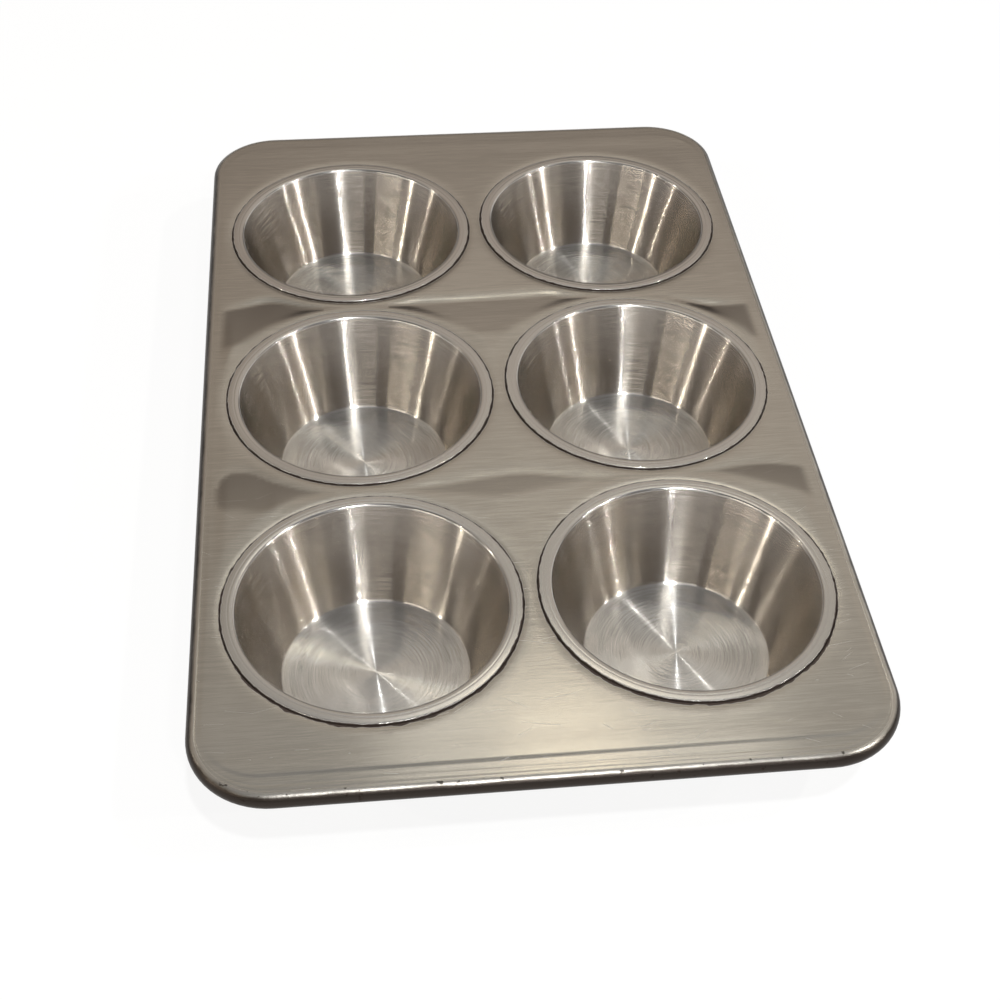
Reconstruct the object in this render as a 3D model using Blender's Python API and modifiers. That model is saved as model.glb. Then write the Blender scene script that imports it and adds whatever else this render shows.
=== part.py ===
"""Six-cup muffin pan: a pressed steel panel, rolled over a wire at its edge and hemmed round six drawn cups.

Metres, +Z up. The origin is on the surface that the pan stands on, under its middle. The long side runs along Y.
"""
import math

import bmesh
import bpy
from mathutils import Vector

# Steel sheet, and the gap left between two layers of it or between sheet and wire
PANEL_SHEET = 0.0006
CUP_SHEET = 0.0006
SEAM_GAP = 0.0003

# A cup, inside sizes: its depth under the rim's crown, and how far its wall leans in on the way down
CUP_DEPTH = 0.0269
MOUTH_RADIUS = 0.0333
WALL_DRAFT = 0.0090
FLOOR_BEND = 0.0015
MOUTH_BEND = 0.0003

# The cup's rim: a crowned ring that stands a little over the panel, with a skirt turned down at its edge
RIM_LAND = 0.00215
RIM_CROWN = 0.0003
RIM_STAND = 0.0003
SHOULDER_BEND = 0.0002

# The panel's collar in each hole, whose edge is hemmed round the skirt
HOLE_BEND = 0.0008
HEM_RISE = 0.0012
HEM_HEADROOM = 0.0006

# Flat panel left between neighbouring holes, and from the holes to the step of the border
CUP_COLUMNS = 2
CUP_ROWS = 3
WEB_ACROSS = 0.0007
WEB_ALONG = 0.0012
SIDE_LAND = 0.00155
END_LAND = 0.00955
FIELD_CORNER_RADIUS = 0.0134

# The border: a step down, a flat that is wider at the short sides, and a curl round the wire
STEP_WIDTH = 0.0013
STEP_DROP = 0.00035
SIDE_FLAT = 0.0003
END_FLAT = 0.0039
CORNER_RADIUS = 0.0200
WIRE_RADIUS = 0.0013
CURL_TURN = math.radians(270)

# How finely round shapes are divided
ROUND_STEPS = 32
CORNER_STEPS = 5
CURL_STEPS = 9
BEND_STEPS = 2

# What follows from the sizes above
RIM_RADIUS = MOUTH_RADIUS + RIM_LAND + PANEL_SHEET + SEAM_GAP + CUP_SHEET
COLLAR_RADIUS = RIM_RADIUS + SEAM_GAP
HOLE_RADIUS = COLLAR_RADIUS + HOLE_BEND + PANEL_SHEET
PITCH_ACROSS = 2 * HOLE_RADIUS + WEB_ACROSS
PITCH_ALONG = 2 * HOLE_RADIUS + WEB_ALONG
RIM_TOP = CUP_SHEET + CUP_DEPTH
RIM_EDGE = RIM_TOP - RIM_CROWN
SKIRT_END = RIM_EDGE - CUP_SHEET - HEM_HEADROOM - HEM_RISE
PANEL_TOP = RIM_TOP - RIM_STAND
BORDER_TOP = PANEL_TOP - STEP_DROP
FIELD_HALF_WIDTH = (CUP_COLUMNS - 1) / 2 * PITCH_ACROSS + HOLE_RADIUS + SIDE_LAND
FIELD_HALF_LENGTH = (CUP_ROWS - 1) / 2 * PITCH_ALONG + HOLE_RADIUS + END_LAND
CURL_RADIUS = WIRE_RADIUS + SEAM_GAP + PANEL_SHEET
WIRE_HALF_WIDTH = FIELD_HALF_WIDTH + STEP_WIDTH + SIDE_FLAT
WIRE_HALF_LENGTH = FIELD_HALF_LENGTH + STEP_WIDTH + END_FLAT
WIRE_CORNER_RADIUS = CORNER_RADIUS - CURL_RADIUS
WIRE_HEIGHT = BORDER_TOP - CURL_RADIUS

ROW_NAMES = ("front", "middle", "rear")
COLUMN_NAMES = ("left", "right")


def clear_scene():
    for obj in list(bpy.data.objects):
        bpy.data.objects.remove(obj)


def steel(name, colour, roughness):
    material = bpy.data.materials.new(name)
    material.use_nodes = True
    shader = material.node_tree.nodes["Principled BSDF"]
    shader.inputs["Base Color"].default_value = (*colour, 1.0)
    shader.inputs["Metallic"].default_value = 1.0
    shader.inputs["Roughness"].default_value = roughness
    return material


def add_object(name, data, collection, location=(0, 0, 0)):
    obj = bpy.data.objects.new(name, data)
    obj.location = location
    collection.objects.link(obj)
    return obj


def add_sheet(obj, thickness):
    """Gives an upper face its sheet, on the side away from its normals."""
    solidify = obj.modifiers.new("sheet", "SOLIDIFY")
    solidify.thickness = thickness
    solidify.offset = -1
    solidify.use_even_offset = True


def cup_places():
    """The name and the middle of each cup, front row first."""
    for row, row_name in enumerate(ROW_NAMES):
        for column, column_name in enumerate(COLUMN_NAMES):
            x = (column - (CUP_COLUMNS - 1) / 2) * PITCH_ACROSS
            y = (row - (CUP_ROWS - 1) / 2) * PITCH_ALONG
            yield f"cup_{row_name}_{column_name}", x, y


def arc(centre, radius, start, turn, steps):
    """Points round an arc, both ends included. A turn below zero is clockwise."""
    angles = [start + turn * step / steps for step in range(steps + 1)]
    return [centre + radius * Vector((math.cos(angle), math.sin(angle))) for angle in angles]


def bent(corners):
    """A line of points through (distance, height, bend radius) corners, with an arc at each bend."""
    line = []
    for index, (x, z, radius) in enumerate(corners):
        corner = Vector((x, z))
        if not radius:
            line.append(corner)
            continue
        back = (Vector(corners[index - 1][:2]) - corner).normalized()
        ahead = (Vector(corners[index + 1][:2]) - corner).normalized()
        half_angle = back.angle(ahead) / 2
        centre = corner + (back + ahead).normalized() * radius / math.sin(half_angle)
        first = corner + back * radius / math.tan(half_angle) - centre
        last = corner + ahead * radius / math.tan(half_angle) - centre
        line += arc(centre, radius, math.atan2(first.y, first.x), -first.angle_signed(last), BEND_STEPS)
    return line


def cup_line():
    """The cup's upper face from the middle of its floor to the end of its skirt, as (radius, height)."""
    return bent([
        (0, CUP_SHEET, 0),
        (MOUTH_RADIUS - WALL_DRAFT, CUP_SHEET, FLOOR_BEND),
        (MOUTH_RADIUS, RIM_EDGE, MOUTH_BEND + CUP_SHEET),
        ((MOUTH_RADIUS + RIM_RADIUS) / 2, RIM_TOP, 0),
        (RIM_RADIUS, RIM_EDGE, SHOULDER_BEND + CUP_SHEET),
        (RIM_RADIUS, SKIRT_END, 0),
    ])


def collar_line():
    """The panel's upper face from a hole's edge down its collar and round the hem, as (radius, height)."""
    bend = HOLE_BEND + PANEL_SHEET
    hem = SEAM_GAP + CUP_SHEET / 2
    hem_centre = Vector((COLLAR_RADIUS - hem, SKIRT_END))
    leg_end = hem_centre + Vector((-hem, HEM_RISE))
    shoulder = arc(Vector((HOLE_RADIUS, PANEL_TOP - bend)), bend, math.pi / 2, math.pi / 2, BEND_STEPS)
    return shoulder + arc(hem_centre, hem, 0, -math.pi, BEND_STEPS) + [leg_end]


def curl_line():
    """The panel's upper face over and round the wire, as (distance out from the wire's middle, height)."""
    return arc(Vector((0, WIRE_HEIGHT)), CURL_RADIUS, math.pi / 2, -CURL_TURN, CURL_STEPS)


def circle(x, y, radius, height):
    angles = [2 * math.pi * step / ROUND_STEPS for step in range(ROUND_STEPS)]
    return [(x + radius * math.cos(angle), y + radius * math.sin(angle), height) for angle in angles]


def rounded_rectangle(half_width, half_length, radius, height):
    points = []
    for quarter, (side_x, side_y) in enumerate(((1, 1), (-1, 1), (-1, -1), (1, -1))):
        centre = Vector((side_x * (half_width - radius), side_y * (half_length - radius)))
        corner = arc(centre, radius, quarter * math.pi / 2, math.pi / 2, CORNER_STEPS)
        points += [(point.x, point.y, height) for point in corner]
    return points


def add_loop(mesh, points):
    """A closed ring of points and edges."""
    verts = [mesh.verts.new(point) for point in points]
    return verts, [mesh.edges.new((verts[i - 1], verts[i])) for i in range(len(verts))]


def add_bands(mesh, verts, edges, rings):
    """Extrudes a loop once for each further ring, and moves each of its points to its place there."""
    for points in rings:
        made = bmesh.ops.extrude_edge_only(mesh, edges=edges)["geom"]
        edges = [item for item in made if isinstance(item, bmesh.types.BMEdge)]
        new_verts = {item for item in made if isinstance(item, bmesh.types.BMVert)}
        verts = [
            next(edge.other_vert(vert) for edge in vert.link_edges if edge.other_vert(vert) in new_verts)
            for vert in verts
        ]
        for vert, point in zip(verts, points):
            vert.co = point


def panel_border():
    """Rings from the field's edge down the step, over the flat border and round the curl."""
    half_sizes = (FIELD_HALF_WIDTH, FIELD_HALF_LENGTH, FIELD_CORNER_RADIUS)
    rings = [
        rounded_rectangle(*(size + out for size in half_sizes), PANEL_TOP - drop)
        for out, drop in ((0, 0), (STEP_WIDTH, STEP_DROP))
    ]
    half_sizes = (WIRE_HALF_WIDTH, WIRE_HALF_LENGTH, WIRE_CORNER_RADIUS)
    return rings + [rounded_rectangle(*(size + out for size in half_sizes), z) for out, z in curl_line()]


def make_panel(collection, material):
    """The pressed sheet: a flat field, a collar in each hole, and the border with its curl."""
    mesh = bmesh.new()
    openings = [[circle(x, y, radius, z) for radius, z in collar_line()] for _, x, y in cup_places()]
    loops = [(*add_loop(mesh, rings[0]), rings[1:]) for rings in [panel_border()] + openings]
    field = bmesh.ops.triangle_fill(mesh, edges=mesh.edges[:], use_beauty=True, normal=(0, 0, 1))
    for verts, edges, rings in loops:
        add_bands(mesh, verts, edges, rings)
    bmesh.ops.recalc_face_normals(mesh, faces=mesh.faces[:])
    if any(isinstance(item, bmesh.types.BMFace) and item.normal.z < 0 for item in field["geom"]):
        bmesh.ops.reverse_faces(mesh, faces=mesh.faces[:])
    data = bpy.data.meshes.new("top_panel")
    mesh.to_mesh(data)
    mesh.free()
    data.materials.append(material)
    data.shade_smooth()
    data.set_sharp_from_angle(angle=math.radians(50))
    add_sheet(add_object("top_panel", data, collection), PANEL_SHEET)


def make_cups(collection, material):
    """Six cups turned from one outline."""
    line = cup_line()
    data = bpy.data.meshes.new("cup_outline")
    data.from_pydata([(x, 0, z) for x, z in line], [(i, i + 1) for i in range(len(line) - 1)], [])
    data.materials.append(material)
    for name, x, y in cup_places():
        cup = add_object(name, data, collection, location=(x, y, 0))
        screw = cup.modifiers.new("turn", "SCREW")
        screw.steps = ROUND_STEPS
        screw.render_steps = ROUND_STEPS
        screw.use_merge_vertices = True
        screw.merge_threshold = 0.00001
        screw.use_smooth_shade = True
        add_sheet(cup, CUP_SHEET)


def make_rim_wire(collection, material):
    """One closed ring of wire inside the curl."""
    points = rounded_rectangle(WIRE_HALF_WIDTH, WIRE_HALF_LENGTH, WIRE_CORNER_RADIUS, WIRE_HEIGHT)
    curve = bpy.data.curves.new("rim_wire", "CURVE")
    curve.dimensions = "3D"
    curve.bevel_depth = WIRE_RADIUS
    curve.bevel_resolution = 2
    curve.materials.append(material)
    spline = curve.splines.new("POLY")
    spline.points.add(len(points) - 1)
    for point, place in zip(spline.points, points):
        point.co = (*place, 1)
    spline.use_cyclic_u = True
    add_object("rim_wire", curve, collection)


def main():
    clear_scene()
    collection = bpy.data.collections.new("muffin_pan")
    bpy.context.scene.collection.children.link(collection)
    make_panel(collection, steel("panel_steel", (0.50, 0.47, 0.42), 0.32))
    make_cups(collection, steel("cup_steel", (0.55, 0.53, 0.49), 0.25))
    make_rim_wire(collection, steel("wire_steel", (0.30, 0.25, 0.20), 0.55))


main()
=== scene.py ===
"""Looks of the six-cup muffin pan: a satin steel panel with a beaded edge, and six ring-brushed steel cups.

Metres, +Z up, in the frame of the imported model. Sizes that the solids already have are read from them. A pair
whose name ends in FADE holds the distances at which something begins and is full.
"""
import math

import bpy
import numpy as np
from mathutils import Euler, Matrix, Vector, noise
from mathutils.geometry import delaunay_2d_cdt


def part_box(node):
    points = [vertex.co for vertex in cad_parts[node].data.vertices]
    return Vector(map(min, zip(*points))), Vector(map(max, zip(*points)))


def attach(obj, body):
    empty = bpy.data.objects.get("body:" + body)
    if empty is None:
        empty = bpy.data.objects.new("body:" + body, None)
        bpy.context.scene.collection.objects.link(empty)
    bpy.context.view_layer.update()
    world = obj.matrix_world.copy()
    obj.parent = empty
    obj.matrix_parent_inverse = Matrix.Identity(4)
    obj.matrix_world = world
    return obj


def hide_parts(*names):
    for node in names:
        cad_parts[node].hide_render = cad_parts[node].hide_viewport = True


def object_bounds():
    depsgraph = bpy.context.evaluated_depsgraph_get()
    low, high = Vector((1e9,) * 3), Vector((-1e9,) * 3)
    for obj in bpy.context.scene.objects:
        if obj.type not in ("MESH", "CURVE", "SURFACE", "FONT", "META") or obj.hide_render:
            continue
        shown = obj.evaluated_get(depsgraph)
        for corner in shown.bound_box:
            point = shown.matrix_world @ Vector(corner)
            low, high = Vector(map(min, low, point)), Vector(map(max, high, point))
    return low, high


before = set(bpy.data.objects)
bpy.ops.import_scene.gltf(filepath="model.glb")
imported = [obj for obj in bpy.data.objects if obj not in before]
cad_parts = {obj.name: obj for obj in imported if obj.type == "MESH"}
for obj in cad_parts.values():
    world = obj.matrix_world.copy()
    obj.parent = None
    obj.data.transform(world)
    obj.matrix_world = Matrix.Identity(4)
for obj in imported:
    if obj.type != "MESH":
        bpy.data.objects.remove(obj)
cad_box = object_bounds()

MM = 0.001
ROWS = ("front", "middle", "rear")
COLUMNS = ("left", "right")

# Camera: where the photograph was taken from, the way it looks, and its lens and sensor in mm
CAMERA_PLACE = Vector((-0.03898, -0.33177, 0.3137))
CAMERA_TURN = Euler((math.radians(45.1727), math.radians(-1.1998), math.radians(-5.7838)))
CAMERA_LENS = 56.035
CAMERA_SENSOR = 36.0
CAMERA_SHIFT = -0.0015

# Sheet, its gaps and its bends
SHEET = 0.6 * MM
SEAM_GAP = 0.1 * MM
CURL_GAP = 0.3 * MM
FLOOR_BEND = 0.9 * MM
MOUTH_BEND = 0.8 * MM
SHOULDER_BEND = 0.2 * MM
HOLE_BEND = 0.35 * MM

# Cups: how far the wall leans out, where the skirt ends, and how far the hem comes up inside it
WALL_DRAFT = 9.3 * MM
SKIRT_END = 24.8 * MM
HEM_RISE = 1.2 * MM

# Rim of a cup: its width, its curve down outside, its fall to the mouth, the depth of its fine line, the run
# that sets how steeply it leaves the mouth, and how far it stays under the top of the solids
RIM_LAND = 3.35 * MM
RIM_CROWN = 0.03 * MM
RIM_FALL = 0.18 * MM
RIM_LINE = 0.035 * MM
RIM_RISE_RUN = RIM_LAND / 5
RIM_CLEARANCE = 0.01 * MM

# Shares of the rim's width from the mouth: where its fall ends, where its line lies, half the line's width
FALL_END = 0.4
LINE_PLACE = 0.42
LINE_REACH = 0.08

# Panel: the flat land beside the cups, the step round the field, and the rolled edge. The step is full at the
# front edge, and REAR_STEP of it is left at the rear.
SIDE_LAND = 2.60 * MM
END_LAND = 10.60 * MM
FIELD_CORNER = 13.4 * MM
STEP_WIDTH = 1.4 * MM
STEP_DROP = 0.08 * MM
STEP_FADE = (0.02, 0.11)
REAR_STEP = 0.1
EDGE_CORNER = 20.0 * MM
WIRE_RADIUS = 1.3 * MM

# Rings of points across the step and across the border, as shares of the way, with the border's dips in mm
STEP_RINGS = (0.12, 0.25, 0.4, 0.55, 0.7, 0.85, 1.0)
BORDER_RINGS = ((0.2, 0), (0.42, 0.003), (0.48, 0.018), (0.54, 0.003), (0.7, 0), (0.8, 0.012), (0.88, 0.03))

# Worked out from the solids
CUP_BOXES = {(row, side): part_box(f"cup_{row}_{side}") for row in ROWS for side in COLUMNS}
CUP_PLACES = {key: (low + high) / 2 for key, (low, high) in CUP_BOXES.items()}
CUP_LOW, CUP_HIGH = CUP_BOXES["front", "left"]
RIM_RADIUS = (CUP_HIGH.x - CUP_LOW.x) / 2
RIM_TOP = CUP_HIGH.z - RIM_CLEARANCE
RIM_EDGE = RIM_TOP - RIM_CROWN
MOUTH_RADIUS = RIM_RADIUS - RIM_LAND
FOOT_RADIUS = MOUTH_RADIUS - WALL_DRAFT
COLLAR_RADIUS = RIM_RADIUS + SEAM_GAP
HOLE_RADIUS = COLLAR_RADIUS + HOLE_BEND
PANEL_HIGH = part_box("top_panel")[1]
PANEL_TOP = PANEL_HIGH.z
CURL_RADIUS = WIRE_RADIUS + CURL_GAP + SHEET
WIRE_HEIGHT = PANEL_TOP - CURL_RADIUS

# Outlines, as half a width, half a length and a corner's radius
WIRE_LINE = (PANEL_HIGH.x - CURL_RADIUS, PANEL_HIGH.y - CURL_RADIUS, EDGE_CORNER - CURL_RADIUS)
FIELD_LINE = (
    CUP_PLACES["front", "right"].x + HOLE_RADIUS + SIDE_LAND,
    CUP_PLACES["rear", "right"].y + HOLE_RADIUS + END_LAND,
    FIELD_CORNER,
)
STEP_LINE = tuple(size + STEP_WIDTH for size in FIELD_LINE)

# How finely the surfaces are divided
ROUND_STEPS = 128
SIDE_STEPS = 90
END_STEPS = 60
CORNER_STEPS = 16
BEND_STEPS = 6
FLOOR_STEPS = 12
WALL_STEPS = 14
RIM_STEPS = 18
SHOULDER_STEPS = 8
HEM_STEPS = 6
CURL_STEPS = 26
WIRE_STEPS = 14
FIELD_GRID = 1.1 * MM
GRID_CLEARANCE = 0.6 * FIELD_GRID

# When the field is divided: how near in mm points count as one, and how far in m a face may be inside a ring
JOIN_SLACK_MM = 1e-5
RING_SLACK = 1e-6

# The shallow hollows pressed between the rows: (x, y) of their rear crease, and (x, length) of the slope
# before it
REAR_CREASE = (
    (-0.080, 0.0392), (-0.072, 0.0416), (-0.065, 0.0435), (-0.054, 0.0412), (-0.020, 0.0400),
    (0.009, 0.0407), (0.025, 0.0411), (0.056, 0.0350), (0.071, 0.0323), (0.080, 0.0322),
)
REAR_SLOPE = ((-0.080, 0.018), (0.080, 0.016))
FRONT_CREASE = (
    (-0.079, -0.0385), (-0.077, -0.0330), (-0.071, -0.0297), (-0.063, -0.0340), (-0.050, -0.0388),
    (-0.023, -0.0390), (0.005, -0.0361), (0.018, -0.0386), (0.050, -0.0387), (0.071, -0.0373),
    (0.080, -0.0395),
)
FRONT_SLOPE = (
    (-0.079, 0.002), (-0.077, 0.010), (-0.071, 0.0145), (-0.055, 0.003), (-0.023, 0.002),
    (0.000, 0.008), (0.018, 0.0015), (0.055, 0.0015), (0.068, 0.008), (0.080, 0.012),
)

# A hollow's depth, its bank's height, its run up to the flat behind, and how dark the painted shade on its
# slope is in the middle
REAR_HOLLOW = (0.45 * MM, 0.28 * MM, 4.0 * MM, 0.15)
FRONT_HOLLOW = (0.18 * MM, 0.20 * MM, 6.0 * MM, 0.6)

# How far a bank reaches forward, and the length of slope from which it is full
BANK_RUN = 20.0 * MM
BANK_SLOPE = 10 * MM

# From the field's side inwards: the hollows' depth, the banks' height, both together, and the painted shade
DEPTH_FADE = (-2 * MM, 14 * MM)
BANK_FADE = (0, 4 * MM)
HOLLOW_FADE = (0, 3 * MM)
PAINTED_SHADE_FADE = (0, 2.5 * MM)

# The painted shade on the slopes from the crease, from the slope's foot and from the pan's middle, and how much
# it pales
CREASE_FADE = (-0.5 * MM, 1.0 * MM)
SLOPE_FADE = (-1.5 * MM, 2.0 * MM)
MIDDLE_FADE = (30 * MM, 60 * MM)
SLOPE_PALING = 0.35

# The hollows, from a hole's edge outwards
HOLE_FADE = (1.0 * MM, 5.0 * MM)

# The dip of the sheet towards each hole, and the gaps from the hole's edge of the rings that divide it
DISH_DROP = 0.14 * MM
DISH_RUN = 2.4 * MM
DISH_GAPS = (1.4 * MM, 1.05 * MM, 0.7 * MM, 0.35 * MM, 0.0)

# The slight waviness of thin sheet in the field and in the cups' walls
FIELD_WAVE = 0.05 * MM
FIELD_WAVE_SIZE = 0.035
FIELD_WAVE_SEED = 3.1
FIELD_WAVE_FADE = (0, 8 * MM)
WALL_WAVE = 0.05 * MM
WALL_WAVE_SIZE = 0.012
WALL_WAVE_SEED = 7.7
WALL_FOOT_FADE = (1 * MM, 8 * MM)
WALL_TOP_FADE = (0, 6 * MM)

# Places of the panel's and of a cup's materials in their lists
FLAT, CURL, COLLAR = 0, 1, 2
SHELL, RIM = 0, 1

# Steel, from its one tone to its other
PANEL_COLOURS = ((0.478, 0.452, 0.405, 1), (0.547, 0.518, 0.465, 1))
# The bead's second colour is painted shade: the dark that the curl reflects further round
BEAD_AND_PAINTED_SHADE_COLOURS = ((0.54, 0.51, 0.46, 1), (0.045, 0.037, 0.032, 1))
COLLAR_COLOUR = (0.52, 0.49, 0.44, 1)
# A cup's floor is painted light: paler than its wall, which is the same steel
PAINTED_LIGHT_FLOOR_COLOURS = ((0.755, 0.735, 0.70, 1), (0.79, 0.775, 0.74, 1))
WALL_COLOURS = ((0.475, 0.437, 0.394, 1), (0.55, 0.513, 0.465, 1))
RIM_COLOURS = ((0.53, 0.51, 0.478, 1), (0.61, 0.59, 0.56, 1))
WIRE_COLOURS = ((0.30, 0.26, 0.22, 1), (0.14, 0.07, 0.04, 1))

# Painted shade in the hollows, chips and scratches
PAINTED_SHADE_COLOUR = (0.26, 0.24, 0.215, 1)
NICK_COLOUR = (0.03, 0.022, 0.018, 1)
PANEL_SCRATCH_COLOUR = (0.85, 0.83, 0.78, 1)
PANEL_SCRATCH_WIDTH = 0.07 * MM
CUP_SCRATCH_COLOUR = (0.85, 0.83, 0.80, 1)
CUP_SCRATCH_WIDTH = 0.05 * MM

# Baked-on residue in the seams: its colour, the roughness it adds, how far it comes up the panel's side, and
# its soft edge
RESIDUE_COLOUR = (0.032, 0.019, 0.013, 1)
RESIDUE_ROUGHNESS = 0.6
RESIDUE_REACH = 0.32 * MM
RESIDUE_EDGE = (0.1 * MM, -0.2 * MM)

# Y where the panel's wear, the seam's extra dark width on the near side of the front row (painted shade) and
# the edge's chips begin, and where they are full
WEAR_PLACE = (0.02, -0.11)
SHADE_SPREAD_PLACE = (-0.088, -0.110)
NICK_PLACE = (-0.120, -0.131)

# Grain turned round a cup's axis: lines per metre round it and along the profile, and the noise's detail
COARSE_GRAIN = (8.0, 1400.0, 2.0)
FINE_GRAIN = (20.0, 4200.0, 1.0)
HAIR_GRAIN = (100.0, 50000.0, 0.0)

# The anisotropic highlight lies a quarter turn from the tangent, across the grain
GRAIN_TURN = 0.25

# Floor: half its width, its gap under the pan, its white, and the share of it that glows where it is seen
STAGE_REACH = 6.0
STAGE_GAP = 0.1 * MM
STAGE_WHITE = (0.97, 0.97, 0.97, 1)
STAGE_GLOW = 0.85

# Surround ahead of the camera: (height, colour) from the horizon at 0 to straight up at 1
SKY_STOPS = (
    (0.00, (0.97, 0.97, 0.97)), (0.20, (0.92, 0.92, 0.92)), (0.265, (0.09, 0.08, 0.075)),
    (0.45, (0.07, 0.06, 0.055)), (0.50, (0.36, 0.31, 0.275)), (0.535, (0.47, 0.41, 0.36)),
    (0.59, (0.57, 0.505, 0.45)), (0.69, (0.66, 0.61, 0.55)), (0.745, (0.50, 0.47, 0.43)),
    (0.79, (0.57, 0.55, 0.515)), (0.87, (0.46, 0.455, 0.45)), (0.93, (0.25, 0.255, 0.265)),
    (1.00, (0.20, 0.20, 0.21)),
)

# Surround behind the camera, from the horizon up, and the brown that dims the surround's left side
REAR_WHITE = (0.92, 0.92, 0.92, 1)
REAR_BROWN = (0.11, 0.092, 0.08, 1)
REAR_GREY = (0.20, 0.20, 0.21, 1)
LEFT_BROWN = (0.10, 0.04, 0.0, 1)

# Lamps: the direction from the pan, the distance, the width and height, the colour, and how white the lamp
# alone would make a white card at the pan. High ones are for the cups' floors, and low ones for their walls.
WHITE = (0.97, 0.99, 1.0)
CREAM = (1.0, 0.98, 0.94)
WARM = (1.0, 0.93, 0.80)
LAMPS = (
    ("lamp_ahead", (0.13, 0.517, 0.838), 2.0, (0.60, 0.20), (1.0, 0.98, 0.90), 0.0105),
    ("lamp_core", (0.125, 0.515, 0.836), 2.0, (0.20, 0.05), (1.0, 0.86, 0.62), 0.003),
    ("lamp_main_high", (0.075, -0.38, 0.922), 2.0, (0.08, 0.08), WHITE, 0.42),
    ("lamp_main_low", (0.13, -0.72, 0.68), 1.0, (0.04, 0.04), WHITE, 0.13),
    ("lamp_main_glow", (-0.10, -0.70, 0.70), 1.0, (0.40, 0.20), CREAM, 0.065),
    ("lamp_right_high", (0.58, -0.15, 0.793), 2.0, (0.04, 0.04), CREAM, 0.18),
    ("lamp_right_low", (0.74, -0.417, 0.527), 2.0, (0.04, 0.04), CREAM, 0.12),
    ("lamp_far_right_low", (0.83, -0.185, 0.526), 2.0, (0.03, 0.03), CREAM, 0.09),
    ("lamp_right_wide", (0.80, 0.50, 0.33), 2.0, (1.40, 0.50), CREAM, 0.06),
    ("lamp_left_low", (-0.85, -0.23, 0.469), 2.0, (0.03, 0.03), WARM, 0.12),
    ("lamp_far_left_low", (-0.86, 0.20, 0.469), 2.0, (0.04, 0.04), WARM, 0.07),
    ("lamp_warm_low", (-0.62, -0.52, 0.585), 2.0, (0.85, 0.12), (1.0, 0.92, 0.80), 0.10),
)


def smooth_step(value, low, high):
    t = np.clip((value - low) / (high - low), 0, 1)
    return t * t * (3 - 2 * t)


def smooth_line(points, x):
    """Heights at x of a smooth line through the points."""
    px, py = np.array(points).T
    slopes = np.gradient(py, px)
    i = np.clip(np.searchsorted(px, x) - 1, 0, len(px) - 2)
    step = px[i + 1] - px[i]
    t = np.clip((x - px[i]) / step, 0, 1)
    return (
        (2 * t**3 - 3 * t**2 + 1) * py[i] + (t**3 - 2 * t**2 + t) * step * slopes[i]
        + (3 * t**2 - 2 * t**3) * py[i + 1] + (t**3 - t**2) * step * slopes[i + 1]
    )


def waviness(points, size, seed):
    """Smooth noise from about -1 to 1 at each point."""
    return np.array([noise.noise(Vector(p) / size + Vector((seed, seed, seed))) for p in points])


def hole_gap(x, y):
    """How far a point of the panel is from the nearest hole's edge."""
    return np.min([np.hypot(x - c.x, y - c.y) for c in CUP_PLACES.values()], axis=0) - HOLE_RADIUS


def side_gap(x, y):
    """How far a point of the panel is inside the nearest straight side of the field."""
    return np.minimum(FIELD_LINE[0] - np.abs(x), FIELD_LINE[1] - np.abs(y))


def corner_reach(points):
    """How far points lie out from the middle of the field's nearest rounded corner."""
    middle = (FIELD_LINE[0] - FIELD_CORNER, FIELD_LINE[1] - FIELD_CORNER)
    past = np.maximum(np.abs(points) - middle, 0)
    return np.hypot(past[..., 0], past[..., 1])


def hollow(x, y, crease, slope, sizes):
    """Height of a pressed hollow and its bank at each point, and the share of painted shade on its slope."""
    full_depth, bank_height, rear_run, middle_share = sizes
    side = FIELD_LINE[0] - np.abs(x)
    before = smooth_line(crease, x) - y
    length = np.maximum(smooth_line(slope, x), MM)
    down = np.clip(before / length, 0, 1)
    depth = full_depth * smooth_step(side, *DEPTH_FADE)
    bank = np.minimum(length / BANK_SLOPE, 1) * (depth + bank_height * smooth_step(side, *BANK_FADE)) - depth
    height = -depth + (bank + depth) * down
    height = np.where(before < 0, -depth * np.maximum(1 + before / rear_run, 0) ** 2, height)
    height = np.where(before > length, bank * np.exp((length - before) / BANK_RUN), height)
    share = smooth_step(before, *CREASE_FADE) * smooth_step(length - before, *SLOPE_FADE)
    share *= 1 - SLOPE_PALING * down
    share *= middle_share + (1 - middle_share) * smooth_step(np.abs(x), *MIDDLE_FADE)
    return height * smooth_step(side, *HOLLOW_FADE), share * smooth_step(side, *PAINTED_SHADE_FADE)


def field_shape(x, y):
    """Height of the field at each point, with its hollows, waves and dips, and the share of painted shade."""
    gap = hole_gap(x, y)
    near = smooth_step(gap, *HOLE_FADE)
    rear, rear_share = hollow(x, y, REAR_CREASE, REAR_SLOPE, REAR_HOLLOW)
    front, front_share = hollow(x, y, FRONT_CREASE, FRONT_SLOPE, FRONT_HOLLOW)
    wave = FIELD_WAVE * waviness(np.column_stack((x, y, np.zeros_like(x))), FIELD_WAVE_SIZE, FIELD_WAVE_SEED)
    wave *= smooth_step(gap, *FIELD_WAVE_FADE)
    inside = smooth_step(side_gap(x, y), *FIELD_WAVE_FADE)
    height = PANEL_TOP + (rear + front) * near + (wave - FIELD_WAVE) * inside
    height -= DISH_DROP * np.maximum(1 - gap / DISH_RUN, 0) ** 2
    return height, np.maximum(rear_share, front_share) * near


def arc(centre, radius, start, turn, steps):
    """Points round an arc, both ends included, in degrees. A turn below zero is clockwise."""
    angles = np.radians(start + turn * np.arange(steps + 1) / steps)
    return np.column_stack((centre[0] + radius * np.cos(angles), centre[1] + radius * np.sin(angles)))


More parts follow.
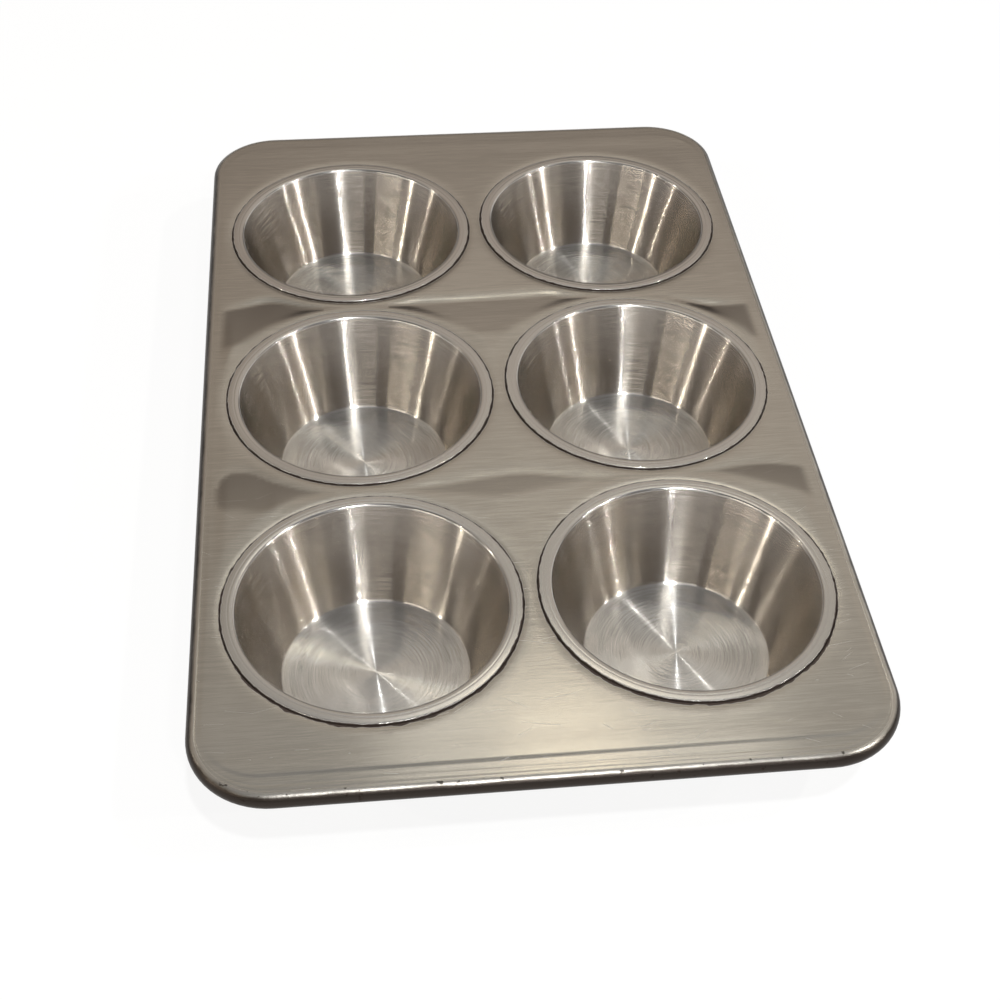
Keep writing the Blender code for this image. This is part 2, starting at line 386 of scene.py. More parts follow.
def bend(before, corner, after, radius):
    """An arc that rounds a corner between two straight lines."""
    corner = Vector(corner)
    back = (Vector(before) - corner).normalized()
    ahead = (Vector(after) - corner).normalized()
    half = back.angle(ahead) / 2
    centre = corner + (back + ahead).normalized() * radius / math.sin(half)
    first = corner + back * radius / math.tan(half) - centre
    last = corner + ahead * radius / math.tan(half) - centre
    start = math.degrees(math.atan2(first.y, first.x))
    return arc(centre, radius, start, math.degrees(-first.angle_signed(last)), BEND_STEPS)


def line_between(first, last, steps):
    """Points between two others, without them."""
    t = np.arange(1, steps)[:, None] / steps
    return np.asarray(first) * (1 - t) + np.asarray(last) * t


def rim_land(first, last):
    """A rim's upper face between its bends: its fall to the mouth, its fine line, its curve down outside."""
    land = line_between(first, last, RIM_STEPS)
    across = (land[:, 0] - first[0]) / (last[0] - first[0])
    line = np.maximum(0, 1 - np.abs(across - LINE_PLACE) / LINE_REACH)
    inward = (RIM_TOP - first[1]) * np.maximum(0, 1 - across / FALL_END) ** 2
    outward = (RIM_TOP - last[1]) * np.maximum(0, 2 * across - 1) ** 3
    land[:, 1] = RIM_TOP - inward - outward - RIM_LINE * line
    return land


def cup_profile():
    """The cup's upper face, from the middle of its floor to the end of its skirt, as (radius, height)."""
    middle = (0, SHEET)
    foot = (FOOT_RADIUS, SHEET)
    mouth = (MOUTH_RADIUS, RIM_TOP - RIM_FALL)
    inner = (MOUTH_RADIUS + RIM_RISE_RUN, RIM_TOP)
    crown = ((MOUTH_RADIUS + RIM_RADIUS) / 2, RIM_TOP)
    shoulder = (RIM_RADIUS, RIM_EDGE)
    skirt = (RIM_RADIUS, SKIRT_END)
    floor_turn = bend(middle, foot, mouth, FLOOR_BEND)
    mouth_turn = bend(foot, mouth, inner, MOUTH_BEND)
    shoulder_turn = bend(crown, shoulder, skirt, SHOULDER_BEND)
    base = line_between(middle, floor_turn[0], FLOOR_STEPS)
    wall = line_between(floor_turn[-1], mouth_turn[0], WALL_STEPS)
    land = rim_land(mouth_turn[-1], shoulder_turn[0])
    return np.vstack((middle, base, floor_turn, wall, mouth_turn, land, shoulder_turn, skirt))


def collar_profile():
    """The panel's upper face from a hole's edge down its collar and round the hem, as (radius, height)."""
    hem = SEAM_GAP + SHEET / 2
    shoulder = arc((HOLE_RADIUS, PANEL_TOP - HOLE_BEND), HOLE_BEND, 90, 90, SHOULDER_STEPS)
    hem_turn = arc((COLLAR_RADIUS - hem, SKIRT_END), hem, 0, -180, HEM_STEPS)
    return np.vstack((shoulder, hem_turn, (COLLAR_RADIUS - 2 * hem, SKIRT_END + HEM_RISE)))


def run_lengths(points):
    """Length along a line of points, at each of them."""
    steps = np.linalg.norm(np.diff(points, axis=0), axis=1)
    return np.concatenate(([0], np.cumsum(steps)))


def closed_lengths(points):
    """Length round a closed ring, at each of its points and back at the first."""
    return run_lengths(np.vstack((points, points[:1])))


# Length along the cup's profile from the floor's middle to the mouth's turn and to the shoulder's end
CUP_RUNS = run_lengths(cup_profile())
MOUTH_RUN = float(CUP_RUNS[FLOOR_STEPS + BEND_STEPS + WALL_STEPS])
SHOULDER_RUN = float(CUP_RUNS[-2])


def outline(half_width, half_length, radius):
    """A rounded rectangle of evenly divided sides and corners, as (x, y) rows."""
    corners = []
    for quarter, (sx, sy) in enumerate(((1, 1), (-1, 1), (-1, -1), (1, -1))):
        centre = (sx * (half_width - radius), sy * (half_length - radius))
        corners.append(arc(centre, radius, 90 * quarter, 90, CORNER_STEPS))
    points = []
    for quarter, corner in enumerate(corners):
        steps = SIDE_STEPS if quarter % 2 else END_STEPS
        points += [corner, line_between(corner[-1], corners[(quarter + 1) % 4][0], steps)]
    return np.vstack(points)


def ring(centre, radius, height):
    angles = 2 * math.pi * np.arange(ROUND_STEPS) / ROUND_STEPS
    heights = np.full(ROUND_STEPS, height)
    return np.column_stack((centre.x + radius * np.cos(angles), centre.y + radius * np.sin(angles), heights))


def field_ring(centre, radius):
    """A ring of points that follows the field's height."""
    points = ring(centre, radius, 0.0)
    points[:, 2] = field_shape(points[:, 0], points[:, 1])[0]
    return points


def lerp(first, last, t):
    return tuple(a + (b - a) * t for a, b in zip(first, last))


def raised(flat, height, depth):
    """An outline's points at a height, lowered by the depth at the front and by little of it at the rear."""
    share = REAR_STEP + (1 - REAR_STEP) * smooth_step(-flat[:, 1], *STEP_FADE)
    return np.column_stack((flat, height - depth * share))


def border_rings():
    """(outline, depth at the front) of each ring from the field over the step and the border to the curl."""
    rings = [(FIELD_LINE, 0.0)]
    for t in STEP_RINGS:
        rings.append((lerp(FIELD_LINE, STEP_LINE, t), STEP_DROP * t * t * (3 - 2 * t)))
    for t, dip in BORDER_RINGS:
        rings.append((lerp(STEP_LINE, WIRE_LINE, t), STEP_DROP + dip * MM))
    return rings


def edge_rings(profile):
    """The wire's outline moved out and raised by each (outward, height) of a profile round the wire."""
    return [raised(outline(*(size + out for size in WIRE_LINE)), z, STEP_DROP) for out, z in profile]


def cup_rings(profile, seed):
    """A ring of points for each step of a cup's profile but the floor's middle, with the wall's waviness."""
    rings = []
    for radius, z in profile[1:]:
        points = ring(Vector((0, 0, 0)), radius, z)
        on_wall = smooth_step(z, *WALL_FOOT_FADE) * smooth_step(RIM_EDGE - z, *WALL_TOP_FADE)
        push = WALL_WAVE * on_wall * waviness(points, WALL_WAVE_SIZE, seed)
        points[:, :2] *= (1 + push / max(radius, MM))[:, None]
        rings.append(points)
    return rings


class Surface:
    """Points, faces and grain coordinates of a mesh that is built up ring by ring."""

    def __init__(self):
        self.points, self.faces, self.uvs, self.slots = [], [], [], []

    def add_points(self, points):
        first = sum(len(block) for block in self.points)
        self.points.append(np.asarray(points, float))
        return np.arange(first, first + len(points))

    def add_face(self, corners, uvs, slot=0):
        self.faces.append([int(c) for c in corners])
        self.uvs.append(uvs)
        self.slots.append(slot)

    def add_band(self, inner, outer, u, v0, v1, slot=0, flip=False):
        """Quads between two closed rings. u holds one value more than the ring has points."""
        count = len(inner)
        for i in range(count):
            j = (i + 1) % count
            corners = [inner[i], inner[j], outer[j], outer[i]]
            uvs = [(u[i], v0), (u[i + 1], v0), (u[i + 1], v1), (u[i], v1)]
            if flip:
                corners.reverse()
                uvs.reverse()
            self.add_face(corners, uvs, slot)

    def add_flat_band(self, outer, inner, outer_points, inner_points):
        """Quads between two closed rings seen from above, with their places as grain coordinates."""
        for i in range(len(inner)):
            j = (i + 1) % len(inner)
            corners = [outer[i], outer[j], inner[j], inner[i]]
            places = [outer_points[i], outer_points[j], inner_points[j], inner_points[i]]
            self.add_face(corners, [tuple(place[:2]) for place in places], FLAT)

    def make(self, name, materials, attributes=None):
        data = bpy.data.meshes.new(name)
        data.from_pydata(np.vstack(self.points).tolist(), [], self.faces)
        grain = data.uv_layers.new(name="grain")
        grain.data.foreach_set("uv", np.array([c for face in self.uvs for c in face], np.float32).ravel())
        data.polygons.foreach_set("material_index", self.slots)
        for material in materials:
            data.materials.append(material)
        for key, values in (attributes or {}).items():
            data.attributes.new(key, "FLOAT", "POINT").data.foreach_set("value", values.astype(np.float32))
        data.shade_smooth()
        obj = bpy.data.objects.new(name, data)
        bpy.context.scene.collection.objects.link(obj)
        return obj


def add_sheet(obj):
    """Gives a surface the sheet's thickness, downwards and inwards."""
    solidify = obj.modifiers.new("sheet", "SOLIDIFY")
    solidify.thickness = SHEET
    solidify.offset = -1
    solidify.use_even_offset = True


def add_border(surface, shapes):
    """Faces between the outlines of the border and the curl. Returns the numbers of each outline's points,
    and the length across the sheet to each outline."""
    around = closed_lengths(shapes[-1])
    across = run_lengths(np.array([(shape[0][0], shape[0][2]) for shape in shapes]))
    ids = [surface.add_points(shape) for shape in shapes]
    flat_rings = len(border_rings())
    for k in range(len(shapes) - 1):
        if k < flat_rings:
            surface.add_flat_band(ids[k + 1], ids[k], shapes[k + 1], shapes[k])
        else:
            surface.add_band(ids[k], ids[k + 1], around, across[k], across[k + 1], CURL, flip=True)
    return ids, across


def add_hole(surface, centre, depths):
    """The dip round a hole and the collar in it. Notes in depths how far down the collar each point is, and
    returns the dip's outer ring and the numbers of its points."""
    dish = [field_ring(centre, HOLE_RADIUS + gap) for gap in DISH_GAPS]
    dish_ids = [surface.add_points(points) for points in dish]
    for k in range(len(dish) - 1):
        surface.add_flat_band(dish_ids[k], dish_ids[k + 1], dish[k], dish[k + 1])
    profile = collar_profile()
    lengths = run_lengths(profile)
    turn = 2 * math.pi * HOLE_RADIUS * np.arange(ROUND_STEPS + 1) / ROUND_STEPS
    above = dish_ids[-1]
    for k in range(1, len(profile)):
        points = ring(centre, *profile[k])
        if k <= SHOULDER_STEPS:
            points[:, 2] += dish[-1][:, 2] - PANEL_TOP
        below = surface.add_points(points)
        surface.add_band(above, below, turn, lengths[k - 1], lengths[k], COLLAR)
        depths.update({int(i): lengths[k] for i in below})
        above = below
    return dish[0], dish_ids[0]


def field_grid():
    """Points of a regular grid over the flat field, clear of its outline and of the dips round the holes."""
    half_width, half_length = FIELD_LINE[:2]
    columns = np.arange(-half_width, half_width, FIELD_GRID)
    rows = np.arange(-half_length, half_length, FIELD_GRID * math.sqrt(3) / 2)
    grid = np.array([(x + FIELD_GRID / 2 * (i % 2), y) for i, y in enumerate(rows) for x in columns])
    x, y = grid.T
    inside = np.minimum(FIELD_CORNER - corner_reach(grid), side_gap(x, y)) > GRID_CLEARANCE
    return grid[inside & (hole_gap(x, y) > DISH_GAPS[0] + GRID_CLEARANCE)]


def fill_field(surface, rim, rim_ids, holes):
    """Triangles over the flat field, from its outline to the rings round the holes."""
    grid = field_grid()
    grid_ids = surface.add_points(np.column_stack((grid, field_shape(grid[:, 0], grid[:, 1])[0])))
    blocks = [rim[:, :2]] + [points[:, :2] for points, _ in holes] + [grid]
    ids = np.concatenate([rim_ids] + [numbers for _, numbers in holes] + [grid_ids])
    edges, start = [], 0
    for block in blocks[:-1]:
        edges += [(start + i, start + (i + 1) % len(block)) for i in range(len(block))]
        start += len(block)
    flat = np.vstack(blocks)
    made = delaunay_2d_cdt([Vector(p) / MM for p in flat], edges, [], 0, JOIN_SLACK_MM, True)
    origin = [found[0] for found in made[3]]
    for face in made[2]:
        numbers = [origin[corner] for corner in face]
        middle = flat[numbers].mean(axis=0)
        in_hole = hole_gap(middle[0], middle[1]) < DISH_GAPS[0] - RING_SLACK
        if not in_hole and corner_reach(middle) <= FIELD_CORNER:
            surface.add_face(ids[numbers], [tuple(flat[n]) for n in numbers], FLAT)


def panel_attributes(surface, ids, across, depths):
    """Values at the panel's points for its materials: the gap to the nearest hole's edge, below zero down a
    collar, the length round the curl, and the share of painted shade in the hollows."""
    points = np.vstack(surface.points)
    gap = hole_gap(points[:, 0], points[:, 1])
    for number, depth in depths.items():
        gap[number] = -depth
    share = field_shape(points[:, 0], points[:, 1])[1]
    last_flat = len(border_rings()) - 1
    run = np.zeros(len(points))
    for k in range(last_flat, len(ids)):
        run[ids[k]] = across[k] - across[last_flat]
    return {"hole_gap": gap, "curl_run": run, "hollow": share}


def make_panel(materials):
    """The pressed sheet: a field with hollows, a collar in each hole, and the border with its curl."""
    surface = Surface()
    shapes = [raised(outline(*sizes), PANEL_TOP, depth) for sizes, depth in border_rings()]
    shapes += edge_rings(arc((0, WIRE_HEIGHT), CURL_RADIUS, 90, -270, CURL_STEPS))
    ids, across = add_border(surface, shapes)
    depths = {}
    holes = [add_hole(surface, centre, depths) for centre in CUP_PLACES.values()]
    fill_field(surface, shapes[0], ids[0], holes)
    panel = surface.make("panel_sheet", materials, panel_attributes(surface, ids, across, depths))
    add_sheet(panel)
    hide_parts("top_panel")
    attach(panel, "root")


def make_cup(row, side, index, materials):
    """A drawn cup: its floor, wall, rim and skirt in one sheet."""
    surface = Surface()
    profile = cup_profile()
    lengths = run_lengths(profile)
    turn = np.arange(ROUND_STEPS + 1) / ROUND_STEPS
    middle = surface.add_points([(0, 0, SHEET)])
    ids = [surface.add_points(points) for points in cup_rings(profile, WALL_WAVE_SEED * index)]
    for i in range(ROUND_STEPS):
        j = (i + 1) % ROUND_STEPS
        uvs = [((turn[i] + turn[i + 1]) / 2, 0), (turn[i], lengths[1]), (turn[i + 1], lengths[1])]
        surface.add_face((middle[0], ids[0][i], ids[0][j]), uvs, SHELL)
    for k in range(len(ids) - 1):
        slot = RIM if lengths[k + 1] >= MOUTH_RUN else SHELL
        surface.add_band(ids[k], ids[k + 1], turn, lengths[k + 1], lengths[k + 2], slot, flip=True)
    cup = surface.make(f"cup_shell_{row}_{side}", materials)
    centre = CUP_PLACES[row, side]
    cup.location = (centre.x, centre.y, 0)
    add_sheet(cup)
    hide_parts(f"cup_{row}_{side}")
    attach(cup, "root")


def make_wire(material):
    """One closed ring of wire inside the curl."""
    surface = Surface()
    shapes = edge_rings(arc((0, WIRE_HEIGHT), WIRE_RADIUS, 0, 360, WIRE_STEPS)[:-1])
    around = closed_lengths(shapes[0])
    ids = [surface.add_points(shape) for shape in shapes]
    width = 2 * math.pi * WIRE_RADIUS / WIRE_STEPS
    for k in range(WIRE_STEPS):
        surface.add_band(ids[k], ids[(k + 1) % WIRE_STEPS], around, k * width, (k + 1) * width)
    wire = surface.make("edge_wire", [material])
    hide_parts("rim_wire")
    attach(wire, "root")


class Nodes:
    """Adds nodes to a material's or the world's tree, and joins them."""

    def __init__(self, tree):
        self.tree = tree

    def add(self, kind, inputs=None, **settings):
        node = self.tree.nodes.new(kind)
        for key, value in settings.items():
            setattr(node, key, value)
        for key, value in (inputs or {}).items():
            self.put(node.inputs[key], value)
        return node

    def put(self, socket, value):
        if isinstance(value, bpy.types.NodeSocket):
            self.tree.links.new(value, socket)
        else:
            socket.default_value = value

    def math(self, operation, *values):
        return self.add("ShaderNodeMath", dict(enumerate(values)), operation=operation).outputs[0]

    def plus(self, first, second):
        return self.math("ADD", first, second)

    def minus(self, first, second):
        return self.math("SUBTRACT", first, second)

    def times(self, first, second):
        return self.math("MULTIPLY", first, second)

    def higher(self, first, second):
        return self.math("MAXIMUM", first, second)

    def blend(self, first, first_share, second, second_share):
        return self.plus(self.times(first, first_share), self.times(second, second_share))

    def vector(self, operation, *values):
        node = self.add("ShaderNodeVectorMath", dict(enumerate(values)), operation=operation)
        return node.outputs["Vector"]

    def ramp(self, value, low, high, to_low=0.0, to_high=1.0):
        """value from low to high becomes to_low to to_high, smoothly, and stays there outside."""
        inputs = {"Value": value, "From Min": low, "From Max": high, "To Min": to_low, "To Max": to_high}
        return self.add("ShaderNodeMapRange", inputs, interpolation_type="SMOOTHSTEP").outputs["Result"]

    def mix(self, factor, first, last):
        node = self.add("ShaderNodeMix", data_type="RGBA")
        self.put(node.inputs["Factor"], factor)
        self.put(node.inputs[6], first)
        self.put(node.inputs[7], last)
        return node.outputs[2]

    def noise(self, vector, scale, detail=2.0, roughness=0.5):
        inputs = {"Vector": vector, "Scale": scale, "Detail": detail, "Roughness": roughness}
        return self.add("ShaderNodeTexNoise", inputs).outputs["Fac"]

    def place(self):
        """A point's place in its piece."""
        return self.add("ShaderNodeTexCoord").outputs["Object"]

    def run(self):
        """Length along a cup's profile from the floor's middle, which the grain coordinates hold."""
        return self.split(self.add("ShaderNodeUVMap", uv_map="grain").outputs["UV"])[1]

    def attribute(self, name):
        return self.add("ShaderNodeAttribute", attribute_name=name).outputs["Fac"]

    def stretched(self, vector, scale, turn):
        """Coordinates scaled unevenly, after a turn about Z in degrees."""
        turned = self.add("ShaderNodeVectorRotate", {"Vector": vector, "Angle": math.radians(turn)})
        return self.vector("MULTIPLY", turned.outputs["Vector"], scale)

    def split(self, vector):
        return self.add("ShaderNodeSeparateXYZ", {"Vector": vector}).outputs

    def join(self, x, y, z):
        return self.add("ShaderNodeCombineXYZ", {"X": x, "Y": y, "Z": z}).outputs["Vector"]

    def scratches(self, place, cell, lean, width, share):
        """Thin straight marks, one at most in each cell. lean is how far they turn from X, in radians."""
        cells = self.vector("MULTIPLY", place, cell)
        texture = self.add("ShaderNodeTexVoronoi", {"Vector": cells, "Scale": 1.0}, voronoi_dimensions="2D")
        random = self.add("ShaderNodeSeparateColor", {"Color": texture.outputs["Color"]}).outputs
        offset = self.vector("SUBTRACT", cells, texture.outputs["Position"])
        offset = self.vector("DIVIDE", offset, cell)
        angle = self.times(self.minus(random[0], 0.5), 2 * lean)
        turned = self.add("ShaderNodeVectorRotate", {"Vector": offset, "Angle": angle}).outputs["Vector"]
        along, across, _ = self.split(turned)
        thin = self.ramp(self.math("ABSOLUTE", across), width, 0.3 * width)
        reach = self.times(random[1], 0.42 / cell[0])
        short = self.math("LESS_THAN", self.math("ABSOLUTE", along), reach)
        some = self.math("LESS_THAN", random[2], share)
        return self.times(self.times(thin, short), some)


def residue(nodes, place, depth, shade_spread):
    """Share of dark residue in the seam round a cup, drawn wider on the near side of the front row, where the
    extra width is painted shade. depth is how far a point is from where the residue ends, and the last argument
    is how much of that extra width it gets."""
    near = nodes.ramp(nodes.split(place)[1], *SHADE_SPREAD_PLACE)
    reach = nodes.ramp(nodes.noise(place, 170.0), 0.38, 0.62, 0.2 * MM, 0.6 * MM)
    uneven = nodes.times(nodes.minus(nodes.noise(place, 420.0, detail=3.0, roughness=0.6), 0.5), 0.9 * MM)
    # Painted shade: the seam's dark is drawn wider on the near side of the front row
    shade_wider = nodes.times(nodes.times(near, reach), shade_spread)
    edge = nodes.minus(nodes.plus(depth, uneven), shade_wider)
    return nodes.ramp(edge, *RESIDUE_EDGE)


def panel_residue(nodes, place):
    """Share of residue on the panel's side of the seams, with the painted shade that widens it on the near side
    of the front row.
    """
    depth = nodes.plus(nodes.attribute("hole_gap"), HOLE_BEND - RESIDUE_REACH)
    return residue(nodes, place, depth, shade_spread=1.1)


def turned_noise(nodes, place, run, grain):
    """Noise that is long round a cup's axis and short along its profile."""
    around, along, detail = grain
    x, y, _ = nodes.split(place)
    stretched = nodes.join(nodes.times(x, around), nodes.times(y, around), nodes.times(run, along))
    return nodes.noise(stretched, 1.0, detail)


def new_material(name):
    material = bpy.data.materials.new(name)
    material.use_nodes = True
    shader = material.node_tree.nodes["Principled BSDF"]
    return material, Nodes(material.node_tree), shader


def finish_steel(nodes, shader, colour, roughness, anisotropy, stain=0.0):
    """Joins the steel's colour, roughness and share of dull residue to the shader, with its grain along the
    mesh's U. Returns the grain's direction."""
    nodes.put(shader.inputs["Base Color"], nodes.mix(stain, colour, RESIDUE_COLOUR))
    nodes.put(shader.inputs["Roughness"], nodes.plus(roughness, nodes.times(stain, RESIDUE_ROUGHNESS)))
    nodes.put(shader.inputs["Metallic"], nodes.minus(1.0, stain))
    shader.inputs["Anisotropic"].default_value = anisotropy
    shader.inputs["Anisotropic Rotation"].default_value = GRAIN_TURN
    tangent = nodes.add("ShaderNodeTangent", direction_type="UV_MAP", uv_map="grain").outputs["Tangent"]
    nodes.put(shader.inputs["Tangent"], tangent)
    return tangent


def add_relief(nodes, shader, height, distance):
    """Bumps of the surface, as high as the distance where height is 1."""
    bump = nodes.add("ShaderNodeBump", {"Height": height, "Strength": 1.0, "Distance": distance})
    nodes.put(shader.inputs["Normal"], bump.outputs["Normal"])


def add_brushing(nodes, shader, tangent, tilt):
    """Tilts the surface's normal across the grain."""
    normal = nodes.add("ShaderNodeNewGeometry").outputs["Normal"]
    across = nodes.vector("CROSS_PRODUCT", normal, tangent)
    turned = nodes.vector("ADD", normal, nodes.vector("MULTIPLY", across, nodes.join(tilt, tilt, tilt)))
    nodes.put(shader.inputs["Normal"], nodes.vector("NORMALIZE", turned))


def panel_steel():
    """Satin steel with a straight grain along X, scratches at the front, and painted shade in the hollows."""
    material, nodes, shader = new_material("panel_steel")
    place = nodes.place()
    coarse = nodes.noise(nodes.stretched(place, (55, 2200, 60), turn=0.8), 1.0)
    fine = nodes.noise(nodes.stretched(place, (150, 6500, 160), turn=-1.0), 1.0, detail=1.0)
    grain = nodes.blend(coarse, 0.4, fine, 0.6)
    blotch = nodes.noise(place, 28.0, detail=3.0)
    tone = nodes.ramp(nodes.blend(grain, 0.75, blotch, 0.25), 0.40, 0.60)
    worn = nodes.ramp(nodes.split(place)[1], *WEAR_PLACE, 0.15, 1.0)
    long_marks = nodes.scratches(place, (60.0, 130.0, 1.0), lean=0.25, width=PANEL_SCRATCH_WIDTH, share=0.35)
    short_marks = nodes.scratches(place, (150.0, 260.0, 1.0), lean=0.7, width=PANEL_SCRATCH_WIDTH, share=0.22)
    marks = nodes.times(nodes.higher(long_marks, short_marks), worn)
    colour = nodes.mix(tone, *PANEL_COLOURS)
    # Painted shade: the hollows' slopes are coloured darker for the dark they reflect
    colour = nodes.mix(nodes.attribute("hollow"), colour, PAINTED_SHADE_COLOUR)
    colour = nodes.mix(nodes.times(marks, 0.45), colour, PANEL_SCRATCH_COLOUR)
    rough = nodes.plus(nodes.ramp(grain, 0.35, 0.65, 0.155, 0.19), nodes.times(marks, 0.15))
    height = nodes.times(nodes.minus(grain, nodes.times(marks, 0.2)), worn)
    finish_steel(nodes, shader, colour, rough, 0.5, panel_residue(nodes, place))
    add_relief(nodes, shader, height, 0.007 * MM)
    return material


def bead_steel():
    """The curled edge: bright on top, painted dark further round as painted shade for the dark surroundings it
    reflects, and with a few chips.
    """
    material, nodes, shader = new_material("bead_steel")
    place = nodes.place()
    # Painted shade: further round the curl the steel is coloured dark, with an uneven edge
    shade_edge_noise = nodes.noise(place, 140.0, detail=4.0, roughness=0.6)
    uneven = nodes.times(nodes.minus(shade_edge_noise, 0.5), 0.8 * MM)
    low = nodes.ramp(nodes.plus(nodes.attribute("curl_run"), uneven), 0.5 * MM, 1.5 * MM)
    front = nodes.ramp(nodes.split(place)[1], *NICK_PLACE)
    nicks = nodes.ramp(nodes.noise(place, 420.0, roughness=0.7), 0.64, 0.68)
    colour = nodes.mix(low, *BEAD_AND_PAINTED_SHADE_COLOURS)
    colour = nodes.mix(nodes.times(nodes.times(nicks, front), 0.8), colour, NICK_COLOUR)
    finish_steel(nodes, shader, colour, nodes.ramp(low, 0, 1, 0.31, 0.38), 0.3)
    add_relief(nodes, shader, nodes.noise(place, 900.0), 0.04 * MM)
    return material


def collar_steel():
    """The drawn collars, mostly under residue."""
    material, nodes, shader = new_material("collar_steel")
    place = nodes.place()
    finish_steel(nodes, shader, COLLAR_COLOUR, 0.2, 0.3, panel_residue(nodes, place))
    add_relief(nodes, shader, nodes.noise(place, 330.0, detail=4.0, roughness=0.65), 0.006 * MM)
    return material


def cup_steel():
    """Steel brushed round the cup's axis, with a floor that is painted paler than the wall as painted light and
    has a few scratches.
    """
    material, nodes, shader = new_material("cup_steel")
    place = nodes.place()
    run = nodes.run()
    coarse = turned_noise(nodes, place, run, COARSE_GRAIN)
    fine = turned_noise(nodes, place, run, FINE_GRAIN)
    hairs = turned_noise(nodes, place, run, HAIR_GRAIN)
    grain = nodes.blend(coarse, 0.5, fine, 0.5)
    blotch = nodes.noise(place, 60.0, detail=3.0)
    tone = nodes.ramp(nodes.blend(grain, 0.6, blotch, 0.4), 0.35, 0.65)
    on_wall = nodes.ramp(run, FOOT_RADIUS - FLOOR_BEND, FOOT_RADIUS + FLOOR_BEND)
    # Painted light: the floor takes paler colours than the wall
    colour = nodes.mix(on_wall, nodes.mix(tone, *PAINTED_LIGHT_FLOOR_COLOURS), nodes.mix(tone, *WALL_COLOURS))
    long_marks = nodes.scratches(place, (38.0, 38.0, 1.0), lean=1.5, width=CUP_SCRATCH_WIDTH, share=0.5)
    short_marks = nodes.scratches(place, (95.0, 95.0, 1.0), lean=1.5, width=CUP_SCRATCH_WIDTH, share=0.35)
    marks = nodes.times(nodes.higher(long_marks, short_marks), nodes.math("LESS_THAN", run, FOOT_RADIUS))
    colour = nodes.mix(nodes.times(marks, 0.4), colour, CUP_SCRATCH_COLOUR)
    lines = nodes.times(nodes.minus(grain, 0.5), nodes.ramp(on_wall, 0, 1, 0.006, 0.10))
    tilt = nodes.plus(nodes.times(nodes.minus(hairs, 0.5), 1.5), lines)
    tangent = finish_steel(nodes, shader, colour, 0.195, 1.0)
    add_brushing(nodes, shader, tangent, tilt)
    return material


def rim_steel():
    """The polished band round a cup's mouth, with dark residue where it turns down into the seam."""
    material, nodes, shader = new_material("rim_steel")
    place = nodes.place()
    run = nodes.run()
    coarse = turned_noise(nodes, place, run, COARSE_GRAIN)
    fine = turned_noise(nodes, place, run, FINE_GRAIN)
    spot = nodes.add("ShaderNodeNewGeometry").outputs["Position"]
    width = nodes.ramp(nodes.split(place)[1], -0.030, -0.012, 0.18 * MM, 0.42 * MM)
    depth = nodes.minus(nodes.minus(SHOULDER_RUN, run), width)
    stain = residue(nodes, spot, depth, shade_spread=0.1)
    rough = nodes.ramp(fine, 0.3, 0.7, 0.17, 0.20)
    finish_steel(nodes, shader, nodes.mix(coarse, *RIM_COLOURS), rough, 0.3, stain)
    add_relief(nodes, shader, coarse, 0.002 * MM)
    return material


def wire_steel():
    """Dull drawn wire with a little rust."""
    material, nodes, shader = new_material("wire_steel")
    rust = nodes.noise(nodes.place(), 300.0, detail=4.0, roughness=0.6)
    colour = nodes.mix(nodes.ramp(rust, 0.45, 0.65), *WIRE_COLOURS)
    finish_steel(nodes, shader, colour, nodes.ramp(rust, 0.4, 0.7, 0.45, 0.7), 0.2)
    add_relief(nodes, shader, rust, 0.03 * MM)
    return material


def floor_white():
    """White that keeps a soft shadow. From underneath it lets the view through."""
    material = bpy.data.materials.new("floor")
    material.use_nodes = True
    nodes = Nodes(material.node_tree)
    nodes.tree.nodes.remove(nodes.tree.nodes["Principled BSDF"])
    diffuse = nodes.add("ShaderNodeBsdfDiffuse", {"Color": STAGE_WHITE}).outputs[0]
    glow = nodes.add("ShaderNodeEmission", {"Color": (1, 1, 1, 1), "Strength": 1.0}).outputs[0]
    path = nodes.add("ShaderNodeLightPath").outputs
    mirrored = nodes.higher(path["Is Glossy Ray"], path["Is Transmission Ray"])
    seen = nodes.higher(path["Is Camera Ray"], mirrored)
    white = nodes.add("ShaderNodeMixShader", {"Fac": nodes.times(seen, STAGE_GLOW), 1: diffuse, 2: glow})
    under = nodes.add("ShaderNodeNewGeometry").outputs["Backfacing"]
    clear = nodes.add("ShaderNodeBsdfTransparent").outputs[0]
    shown = nodes.add("ShaderNodeMixShader", {"Fac": under, 1: white.outputs[0], 2: clear})
    nodes.put(nodes.tree.nodes["Material Output"].inputs["Surface"], shown.outputs[0])
    return material


def make_floor():
    """A wide white floor just under the pan."""
    corners = [(sx * STAGE_REACH, sy * STAGE_REACH, 0) for sx, sy in ((-1, -1), (1, -1), (1, 1), (-1, 1))]
    data = bpy.data.meshes.new("floor")
    data.from_pydata(corners, [], [(0, 1, 2, 3)])
    data.materials.append(floor_white())
    floor = bpy.data.objects.new("floor", data)
    floor.location.z = cad_box[0].z - STAGE_GAP
    bpy.context.scene.collection.objects.link(floor)


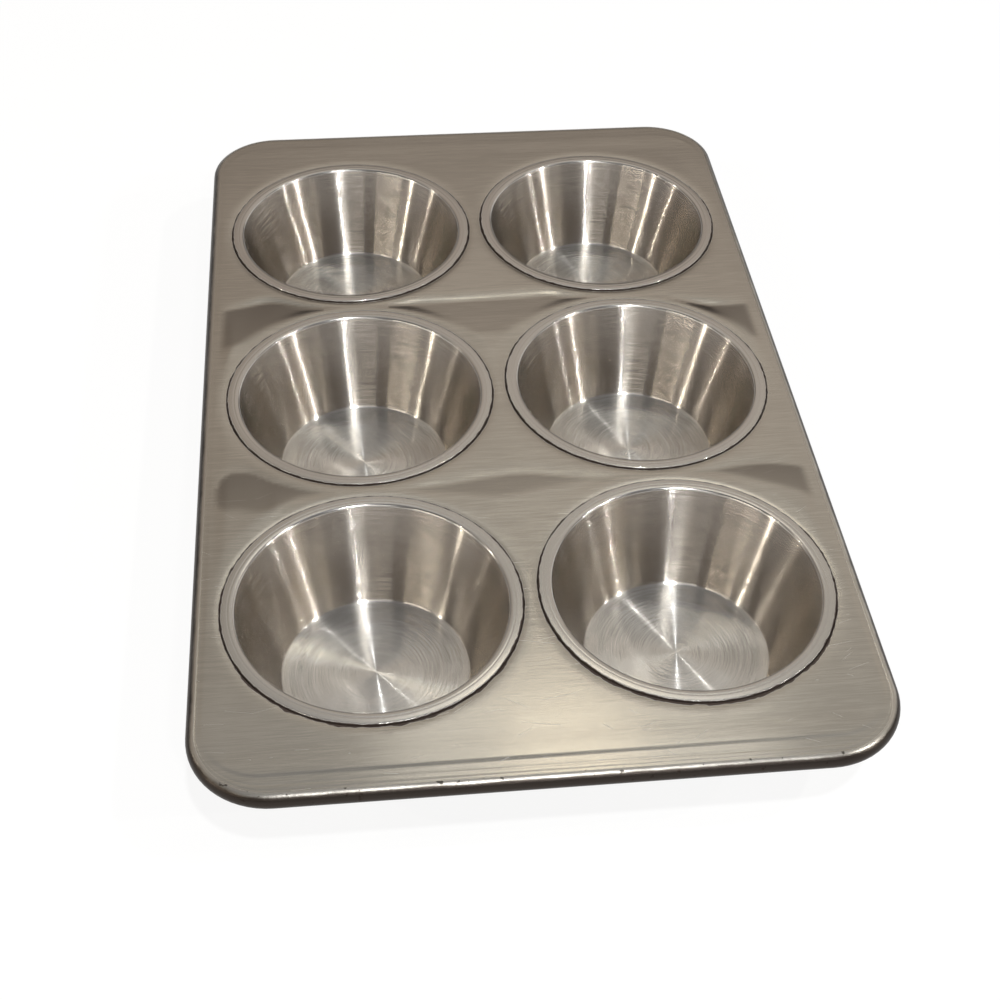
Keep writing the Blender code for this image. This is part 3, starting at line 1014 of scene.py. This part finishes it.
def make_world():
    """Soft studio surround: white at the horizon, a dim band over it, a pale ceiling ahead of the camera."""
    world = bpy.data.worlds.new("studio")
    world.use_nodes = True
    bpy.context.scene.world = world
    nodes = Nodes(world.node_tree)
    across, ahead, up = nodes.split(nodes.add("ShaderNodeTexCoord").outputs["Generated"])
    sky = nodes.add("ShaderNodeValToRGB", {"Fac": up})
    elements = sky.color_ramp.elements
    used = [elements[0], elements[1]] + [elements.new(0.5) for _ in SKY_STOPS[2:]]
    for element, (height, colour) in zip(used, SKY_STOPS):
        element.position = height
        element.color = (*colour, 1)
    behind = nodes.mix(nodes.ramp(up, 0.2, 0.35), REAR_WHITE, REAR_BROWN)
    behind = nodes.mix(nodes.ramp(up, 0.6, 0.98), behind, REAR_GREY)
    left = nodes.times(nodes.ramp(across, 0.02, -0.14, 0.0, 0.37), nodes.ramp(up, 0.48, 0.62))
    left = nodes.times(left, nodes.ramp(up, 0.68, 0.80, 1.0, 0.35))
    front = nodes.mix(left, sky.outputs["Color"], LEFT_BROWN)
    colour = nodes.mix(nodes.ramp(ahead, -0.1, 0.3), behind, front)
    nodes.put(nodes.tree.nodes["Background"].inputs["Color"], colour)


def add_lamp(name, direction, distance, size, colour, level):
    """A lamp that faces the pan. level is how white it alone would make a white card at the pan."""
    data = bpy.data.lights.new(name, "AREA")
    data.shape = "RECTANGLE"
    data.size, data.size_y = size
    data.color = colour
    data.energy = level * (math.pi * distance) ** 2
    lamp = bpy.data.objects.new(name, data)
    away = Vector(direction).normalized()
    lamp.location = away * distance
    lamp.rotation_euler = away.to_track_quat("Z", "Y").to_euler()
    bpy.context.scene.collection.objects.link(lamp)


def make_camera():
    data = bpy.data.cameras.new("camera")
    data.lens = CAMERA_LENS
    data.sensor_width = CAMERA_SENSOR
    data.shift_x = CAMERA_SHIFT
    camera = bpy.data.objects.new("camera", data)
    camera.location = CAMERA_PLACE
    camera.rotation_euler = CAMERA_TURN
    bpy.context.scene.collection.objects.link(camera)
    bpy.context.scene.camera = camera


def main():
    make_camera()
    make_panel([panel_steel(), bead_steel(), collar_steel()])
    cup_materials = [cup_steel(), rim_steel()]
    for index, (row, side) in enumerate(CUP_PLACES):
        make_cup(row, side, index, cup_materials)
    make_wire(wire_steel())
    make_floor()
    make_world()
    for lamp in LAMPS:
        add_lamp(*lamp)
    bpy.context.scene.view_settings.view_transform = "Standard"


main()
